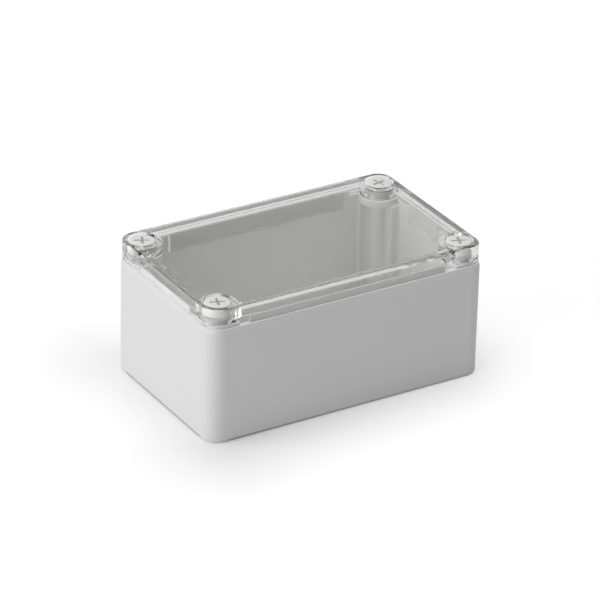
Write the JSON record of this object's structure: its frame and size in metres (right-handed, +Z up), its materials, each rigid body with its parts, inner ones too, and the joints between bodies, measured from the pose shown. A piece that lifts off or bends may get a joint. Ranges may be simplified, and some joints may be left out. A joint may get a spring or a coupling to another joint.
{
  "type": "plastic project box",
  "caption": "Small rectangular sealed enclosure: moulded light grey base, clear lid, white cross-slot corner screws, gasket and board bosses inside.",
  "frame": {"origin": "centre of the underside, on the plane of the feet", "axes": "+X along the length, +Y along the width to the back long wall, +Z up to the lid"},
  "size_m": [0.13, 0.08, 0.06],
  "materials": {
    "grey_plastic": "fine satin moulded plastic, light grey",
    "clear_plastic": "clear polished polycarbonate",
    "gasket_foam": "soft grey sealing cord",
    "white_plastic": "satin white polyamide",
    "washer_rubber": "matte grey rubber"
  },
  "bodies": {
    "base": {"base": "grey_plastic", "gasket": "gasket_foam"},
    "lid": {"lid": "clear_plastic"},
    "washer_front_left": {"washer_front_left": "washer_rubber"},
    "screw_front_left": {"screw_front_left": "white_plastic"},
    "washer_front_right": {"washer_front_right": "washer_rubber"},
    "screw_front_right": {"screw_front_right": "white_plastic"},
    "washer_back_left": {"washer_back_left": "washer_rubber"},
    "screw_back_left": {"screw_back_left": "white_plastic"},
    "washer_back_right": {"washer_back_right": "washer_rubber"},
    "screw_back_right": {"screw_back_right": "white_plastic"}
  },
  "joints": [
    {"name": "lid_lift", "type": "slide", "parent": "base", "child": "lid", "axis": [0, 0, 1], "range_m": [0, 0.09]},
    {"name": "screw_front_left_rise", "type": "slide", "parent": "lid", "child": "washer_front_left", "axis": [0, 0, 1], "range_m": [0, 0.006]},
    {"name": "screw_front_left_turn", "type": "hinge", "parent": "washer_front_left", "child": "screw_front_left", "pos_m": [-0.057, -0.031, 0.0593], "axis": [0, 0, 1], "range_deg": [0, 1440]},
    {"name": "screw_front_right_rise", "type": "slide", "parent": "lid", "child": "washer_front_right", "axis": [0, 0, 1], "range_m": [0, 0.006]},
    {"name": "screw_front_right_turn", "type": "hinge", "parent": "washer_front_right", "child": "screw_front_right", "pos_m": [0.057, -0.031, 0.0593], "axis": [0, 0, 1], "range_deg": [0, 1440]},
    {"name": "screw_back_left_rise", "type": "slide", "parent": "lid", "child": "washer_back_left", "axis": [0, 0, 1], "range_m": [0, 0.006]},
    {"name": "screw_back_left_turn", "type": "hinge", "parent": "washer_back_left", "child": "screw_back_left", "pos_m": [-0.057, 0.031, 0.0593], "axis": [0, 0, 1], "range_deg": [0, 1440]},
    {"name": "screw_back_right_rise", "type": "slide", "parent": "lid", "child": "washer_back_right", "axis": [0, 0, 1], "range_m": [0, 0.006]},
    {"name": "screw_back_right_turn", "type": "hinge", "parent": "washer_back_right", "child": "screw_back_right", "pos_m": [0.057, 0.031, 0.0593], "axis": [0, 0, 1], "range_deg": [0, 1440]}
  ],
  "couplings": [
    {"joint": "screw_front_left_turn", "follows": "screw_front_left_rise", "rad_per_m": 4188.8},
    {"joint": "screw_front_right_turn", "follows": "screw_front_right_rise", "rad_per_m": 4188.8},
    {"joint": "screw_back_left_turn", "follows": "screw_back_left_rise", "rad_per_m": 4188.8},
    {"joint": "screw_back_right_turn", "follows": "screw_back_right_rise", "rad_per_m": 4188.8}
  ]
}
